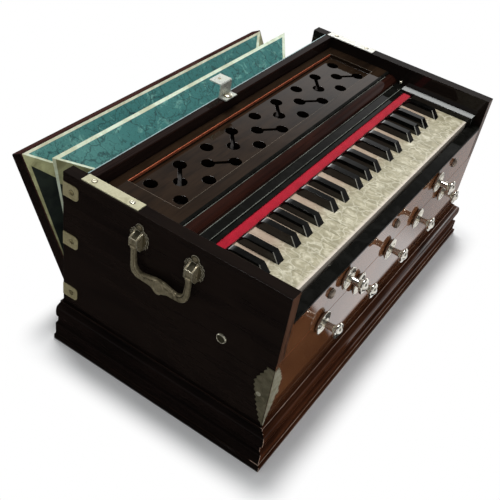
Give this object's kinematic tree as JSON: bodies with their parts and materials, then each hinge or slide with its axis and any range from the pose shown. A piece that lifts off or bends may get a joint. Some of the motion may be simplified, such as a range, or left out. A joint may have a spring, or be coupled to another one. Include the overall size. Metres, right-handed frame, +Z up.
{
  "type": "hand harmonium",
  "caption": "Hand-pumped table harmonium with a moulded case, a row of keys, pull-out stops, bail handles and a folding rear bellows.",
  "frame": {"origin": "middle of the base's underside, on the table", "axes": "+X along the keyboard from bass to treble, +Y from the player to the bellows, +Z up"},
  "size_m": [0.599, 0.4292, 0.2723],
  "materials": {
    "dark_varnish": "very dark red-brown, high-gloss varnish",
    "red_varnish": "red-brown grained wood under high-gloss varnish",
    "brown_varnish": "dark brown high-gloss varnish",
    "black_lacquer": "gloss black lacquer",
    "plain_wood": "unvarnished pale wood",
    "red_felt": "crimson wool felt",
    "bellows_paper": "teal marbled paper with cream leather edges",
    "nickel": "polished nickel plate, a little worn",
    "key_white": "ivory pearl key covering on wood",
    "key_black": "gloss black key covering on wood"
  },
  "bodies": {
    "case": {"left_end_board": "dark_varnish", "right_end_board": "dark_varnish", "base_plinth": "dark_varnish", "front_board": "red_varnish", "key_slip": "black_lacquer", "back_board": "dark_varnish", "reed_board": "plain_wood", "sound_cover": "brown_varnish", "key_felt": "red_felt", "bellows_folds": "bellows_paper"},
    "bellows_flap": {"bellows_board": "red_varnish"},
    "latch": {"bellows_latch": "nickel"},
    "left_bail": {"left_handle_bail": "nickel"},
    "right_bail": {"right_handle_bail": "nickel"},
    "stop_1": {"stop_1": "nickel"},
    "stop_2": {"stop_2": "nickel"},
    "stop_3": {"stop_3": "nickel"},
    "stop_4": {"stop_4": "nickel"},
    "stop_5": {"stop_5": "nickel"},
    "stop_6": {"stop_6": "nickel"},
    "stop_7": {"stop_7": "nickel"},
    "white_key_01": {"white_key_01": "key_white"},
    "black_key_02": {"black_key_02": "key_black"},
    "white_key_03": {"white_key_03": "key_white"},
    "black_key_04": {"black_key_04": "key_black"},
    "white_key_05": {"white_key_05": "key_white"},
    "white_key_06": {"white_key_06": "key_white"},
    "black_key_07": {"black_key_07": "key_black"},
    "white_key_08": {"white_key_08": "key_white"},
    "black_key_09": {"black_key_09": "key_black"},
    "white_key_10": {"white_key_10": "key_white"},
    "black_key_11": {"black_key_11": "key_black"},
    "white_key_12": {"white_key_12": "key_white"},
    "white_key_13": {"white_key_13": "key_white"},
    "black_key_14": {"black_key_14": "key_black"},
    "white_key_15": {"white_key_15": "key_white"},
    "black_key_16": {"black_key_16": "key_black"},
    "white_key_17": {"white_key_17": "key_white"},
    "white_key_18": {"white_key_18": "key_white"},
    "black_key_19": {"black_key_19": "key_black"},
    "white_key_20": {"white_key_20": "key_white"},
    "black_key_21": {"black_key_21": "key_black"},
    "white_key_22": {"white_key_22": "key_white"},
    "black_key_23": {"black_key_23": "key_black"},
    "white_key_24": {"white_key_24": "key_white"},
    "white_key_25": {"white_key_25": "key_white"},
    "black_key_26": {"black_key_26": "key_black"},
    "white_key_27": {"white_key_27": "key_white"},
    "black_key_28": {"black_key_28": "key_black"},
    "white_key_29": {"white_key_29": "key_white"},
    "white_key_30": {"white_key_30": "key_white"},
    "black_key_31": {"black_key_31": "key_black"},
    "white_key_32": {"white_key_32": "key_white"},
    "black_key_33": {"black_key_33": "key_black"},
    "white_key_34": {"white_key_34": "key_white"},
    "black_key_35": {"black_key_35": "key_black"},
    "white_key_36": {"white_key_36": "key_white"},
    "white_key_37": {"white_key_37": "key_white"},
    "black_key_38": {"black_key_38": "key_black"},
    "white_key_39": {"white_key_39": "key_white"}
  },
  "joints": [
    {"name": "bellows_pump", "type": "hinge", "parent": "case", "child": "bellows_flap", "pos_m": [0, 0.1577, 0.0585], "axis": [1, 0, 0], "range_deg": [0, 28], "deforming": ["bellows_folds"]},
    {"name": "latch_swing", "type": "hinge", "parent": "case", "child": "latch", "pos_m": [-0.012, 0.1265, 0.2523], "axis": [0, 0, 1], "range_deg": [-90, 90]},
    {"name": "left_bail_swing", "type": "hinge", "parent": "case", "child": "left_bail", "pos_m": [-0.292, 0.0095, 0.214], "axis": [0, 1, 0], "range_deg": [-4, 90]},
    {"name": "right_bail_swing", "type": "hinge", "parent": "case", "child": "right_bail", "pos_m": [0.292, 0.0095, 0.214], "axis": [0, -1, 0], "range_deg": [-4, 90]},
    {"name": "stop_1_pull", "type": "slide", "parent": "case", "child": "stop_1", "axis": [0, -1, 0], "range_m": [0, 0.015]},
    {"name": "stop_2_pull", "type": "slide", "parent": "case", "child": "stop_2", "axis": [0, -1, 0], "range_m": [0, 0.015]},
    {"name": "stop_3_pull", "type": "slide", "parent": "case", "child": "stop_3", "axis": [0, -1, 0], "range_m": [0, 0.015]},
    {"name": "stop_4_pull", "type": "slide", "parent": "case", "child": "stop_4", "axis": [0, -1, 0], "range_m": [0, 0.015]},
    {"name": "stop_5_pull", "type": "slide", "parent": "case", "child": "stop_5", "axis": [0, -1, 0], "range_m": [0, 0.015]},
    {"name": "stop_6_pull", "type": "slide", "parent": "case", "child": "stop_6", "axis": [0, -1, 0], "range_m": [0, 0.015]},
    {"name": "stop_7_pull", "type": "slide", "parent": "case", "child": "stop_7", "axis": [0, -1, 0], "range_m": [0, 0.015]},
    {"name": "white_key_01_press", "type": "hinge", "parent": "case", "child": "white_key_01", "pos_m": [0, 0.027, 0.201], "axis": [1, 0, 0], "range_deg": [0, 2.2], "stiffness_Nm_per_rad": 0.3, "springref_deg": -17.19},
    {"name": "black_key_02_press", "type": "hinge", "parent": "case", "child": "black_key_02", "pos_m": [0, 0.027, 0.201], "axis": [1, 0, 0], "range_deg": [0, 2.2], "stiffness_Nm_per_rad": 0.3, "springref_deg": -17.19},
    {"name": "white_key_03_press", "type": "hinge", "parent": "case", "child": "white_key_03", "pos_m": [0, 0.027, 0.201], "axis": [1, 0, 0], "range_deg": [0, 2.2], "stiffness_Nm_per_rad": 0.3, "springref_deg": -17.19},
    {"name": "black_key_04_press", "type": "hinge", "parent": "case", "child": "black_key_04", "pos_m": [0, 0.027, 0.201], "axis": [1, 0, 0], "range_deg": [0, 2.2], "stiffness_Nm_per_rad": 0.3, "springref_deg": -17.19},
    {"name": "white_key_05_press", "type": "hinge", "parent": "case", "child": "white_key_05", "pos_m": [0, 0.027, 0.201], "axis": [1, 0, 0], "range_deg": [0, 2.2], "stiffness_Nm_per_rad": 0.3, "springref_deg": -17.19},
    {"name": "white_key_06_press", "type": "hinge", "parent": "case", "child": "white_key_06", "pos_m": [0, 0.027, 0.201], "axis": [1, 0, 0], "range_deg": [0, 2.2], "stiffness_Nm_per_rad": 0.3, "springref_deg": -17.19},
    {"name": "black_key_07_press", "type": "hinge", "parent": "case", "child": "black_key_07", "pos_m": [0, 0.027, 0.201], "axis": [1, 0, 0], "range_deg": [0, 2.2], "stiffness_Nm_per_rad": 0.3, "springref_deg": -17.19},
    {"name": "white_key_08_press", "type": "hinge", "parent": "case", "child": "white_key_08", "pos_m": [0, 0.027, 0.201], "axis": [1, 0, 0], "range_deg": [0, 2.2], "stiffness_Nm_per_rad": 0.3, "springref_deg": -17.19},
    {"name": "black_key_09_press", "type": "hinge", "parent": "case", "child": "black_key_09", "pos_m": [0, 0.027, 0.201], "axis": [1, 0, 0], "range_deg": [0, 2.2], "stiffness_Nm_per_rad": 0.3, "springref_deg": -17.19},
    {"name": "white_key_10_press", "type": "hinge", "parent": "case", "child": "white_key_10", "pos_m": [0, 0.027, 0.201], "axis": [1, 0, 0], "range_deg": [0, 2.2], "stiffness_Nm_per_rad": 0.3, "springref_deg": -17.19},
    {"name": "black_key_11_press", "type": "hinge", "parent": "case", "child": "black_key_11", "pos_m": [0, 0.027, 0.201], "axis": [1, 0, 0], "range_deg": [0, 2.2], "stiffness_Nm_per_rad": 0.3, "springref_deg": -17.19},
    {"name": "white_key_12_press", "type": "hinge", "parent": "case", "child": "white_key_12", "pos_m": [0, 0.027, 0.201], "axis": [1, 0, 0], "range_deg": [0, 2.2], "stiffness_Nm_per_rad": 0.3, "springref_deg": -17.19},
    {"name": "white_key_13_press", "type": "hinge", "parent": "case", "child": "white_key_13", "pos_m": [0, 0.027, 0.201], "axis": [1, 0, 0], "range_deg": [0, 2.2], "stiffness_Nm_per_rad": 0.3, "springref_deg": -17.19},
    {"name": "black_key_14_press", "type": "hinge", "parent": "case", "child": "black_key_14", "pos_m": [0, 0.027, 0.201], "axis": [1, 0, 0], "range_deg": [0, 2.2], "stiffness_Nm_per_rad": 0.3, "springref_deg": -17.19},
    {"name": "white_key_15_press", "type": "hinge", "parent": "case", "child": "white_key_15", "pos_m": [0, 0.027, 0.201], "axis": [1, 0, 0], "range_deg": [0, 2.2], "stiffness_Nm_per_rad": 0.3, "springref_deg": -17.19},
    {"name": "black_key_16_press", "type": "hinge", "parent": "case", "child": "black_key_16", "pos_m": [0, 0.027, 0.201], "axis": [1, 0, 0], "range_deg": [0, 2.2], "stiffness_Nm_per_rad": 0.3, "springref_deg": -17.19},
    {"name": "white_key_17_press", "type": "hinge", "parent": "case", "child": "white_key_17", "pos_m": [0, 0.027, 0.201], "axis": [1, 0, 0], "range_deg": [0, 2.2], "stiffness_Nm_per_rad": 0.3, "springref_deg": -17.19},
    {"name": "white_key_18_press", "type": "hinge", "parent": "case", "child": "white_key_18", "pos_m": [0, 0.027, 0.201], "axis": [1, 0, 0], "range_deg": [0, 2.2], "stiffness_Nm_per_rad": 0.3, "springref_deg": -17.19},
    {"name": "black_key_19_press", "type": "hinge", "parent": "case", "child": "black_key_19", "pos_m": [0, 0.027, 0.201], "axis": [1, 0, 0], "range_deg": [0, 2.2], "stiffness_Nm_per_rad": 0.3, "springref_deg": -17.19},
    {"name": "white_key_20_press", "type": "hinge", "parent": "case", "child": "white_key_20", "pos_m": [0, 0.027, 0.201], "axis": [1, 0, 0], "range_deg": [0, 2.2], "stiffness_Nm_per_rad": 0.3, "springref_deg": -17.19},
    {"name": "black_key_21_press", "type": "hinge", "parent": "case", "child": "black_key_21", "pos_m": [0, 0.027, 0.201], "axis": [1, 0, 0], "range_deg": [0, 2.2], "stiffness_Nm_per_rad": 0.3, "springref_deg": -17.19},
    {"name": "white_key_22_press", "type": "hinge", "parent": "case", "child": "white_key_22", "pos_m": [0, 0.027, 0.201], "axis": [1, 0, 0], "range_deg": [0, 2.2], "stiffness_Nm_per_rad": 0.3, "springref_deg": -17.19},
    {"name": "black_key_23_press", "type": "hinge", "parent": "case", "child": "black_key_23", "pos_m": [0, 0.027, 0.201], "axis": [1, 0, 0], "range_deg": [0, 2.2], "stiffness_Nm_per_rad": 0.3, "springref_deg": -17.19},
    {"name": "white_key_24_press", "type": "hinge", "parent": "case", "child": "white_key_24", "pos_m": [0, 0.027, 0.201], "axis": [1, 0, 0], "range_deg": [0, 2.2], "stiffness_Nm_per_rad": 0.3, "springref_deg": -17.19},
    {"name": "white_key_25_press", "type": "hinge", "parent": "case", "child": "white_key_25", "pos_m": [0, 0.027, 0.201], "axis": [1, 0, 0], "range_deg": [0, 2.2], "stiffness_Nm_per_rad": 0.3, "springref_deg": -17.19},
    {"name": "black_key_26_press", "type": "hinge", "parent": "case", "child": "black_key_26", "pos_m": [0, 0.027, 0.201], "axis": [1, 0, 0], "range_deg": [0, 2.2], "stiffness_Nm_per_rad": 0.3, "springref_deg": -17.19},
    {"name": "white_key_27_press", "type": "hinge", "parent": "case", "child": "white_key_27", "pos_m": [0, 0.027, 0.201], "axis": [1, 0, 0], "range_deg": [0, 2.2], "stiffness_Nm_per_rad": 0.3, "springref_deg": -17.19},
    {"name": "black_key_28_press", "type": "hinge", "parent": "case", "child": "black_key_28", "pos_m": [0, 0.027, 0.201], "axis": [1, 0, 0], "range_deg": [0, 2.2], "stiffness_Nm_per_rad": 0.3, "springref_deg": -17.19},
    {"name": "white_key_29_press", "type": "hinge", "parent": "case", "child": "white_key_29", "pos_m": [0, 0.027, 0.201], "axis": [1, 0, 0], "range_deg": [0, 2.2], "stiffness_Nm_per_rad": 0.3, "springref_deg": -17.19},
    {"name": "white_key_30_press", "type": "hinge", "parent": "case", "child": "white_key_30", "pos_m": [0, 0.027, 0.201], "axis": [1, 0, 0], "range_deg": [0, 2.2], "stiffness_Nm_per_rad": 0.3, "springref_deg": -17.19},
    {"name": "black_key_31_press", "type": "hinge", "parent": "case", "child": "black_key_31", "pos_m": [0, 0.027, 0.201], "axis": [1, 0, 0], "range_deg": [0, 2.2], "stiffness_Nm_per_rad": 0.3, "springref_deg": -17.19},
    {"name": "white_key_32_press", "type": "hinge", "parent": "case", "child": "white_key_32", "pos_m": [0, 0.027, 0.201], "axis": [1, 0, 0], "range_deg": [0, 2.2], "stiffness_Nm_per_rad": 0.3, "springref_deg": -17.19},
    {"name": "black_key_33_press", "type": "hinge", "parent": "case", "child": "black_key_33", "pos_m": [0, 0.027, 0.201], "axis": [1, 0, 0], "range_deg": [0, 2.2], "stiffness_Nm_per_rad": 0.3, "springref_deg": -17.19},
    {"name": "white_key_34_press", "type": "hinge", "parent": "case", "child": "white_key_34", "pos_m": [0, 0.027, 0.201], "axis": [1, 0, 0], "range_deg": [0, 2.2], "stiffness_Nm_per_rad": 0.3, "springref_deg": -17.19},
    {"name": "black_key_35_press", "type": "hinge", "parent": "case", "child": "black_key_35", "pos_m": [0, 0.027, 0.201], "axis": [1, 0, 0], "range_deg": [0, 2.2], "stiffness_Nm_per_rad": 0.3, "springref_deg": -17.19},
    {"name": "white_key_36_press", "type": "hinge", "parent": "case", "child": "white_key_36", "pos_m": [0, 0.027, 0.201], "axis": [1, 0, 0], "range_deg": [0, 2.2], "stiffness_Nm_per_rad": 0.3, "springref_deg": -17.19},
    {"name": "white_key_37_press", "type": "hinge", "parent": "case", "child": "white_key_37", "pos_m": [0, 0.027, 0.201], "axis": [1, 0, 0], "range_deg": [0, 2.2], "stiffness_Nm_per_rad": 0.3, "springref_deg": -17.19},
    {"name": "black_key_38_press", "type": "hinge", "parent": "case", "child": "black_key_38", "pos_m": [0, 0.027, 0.201], "axis": [1, 0, 0], "range_deg": [0, 2.2], "stiffness_Nm_per_rad": 0.3, "springref_deg": -17.19},
    {"name": "white_key_39_press", "type": "hinge", "parent": "case", "child": "white_key_39", "pos_m": [0, 0.027, 0.201], "axis": [1, 0, 0], "range_deg": [0, 2.2], "stiffness_Nm_per_rad": 0.3, "springref_deg": -17.19}
  ]
}
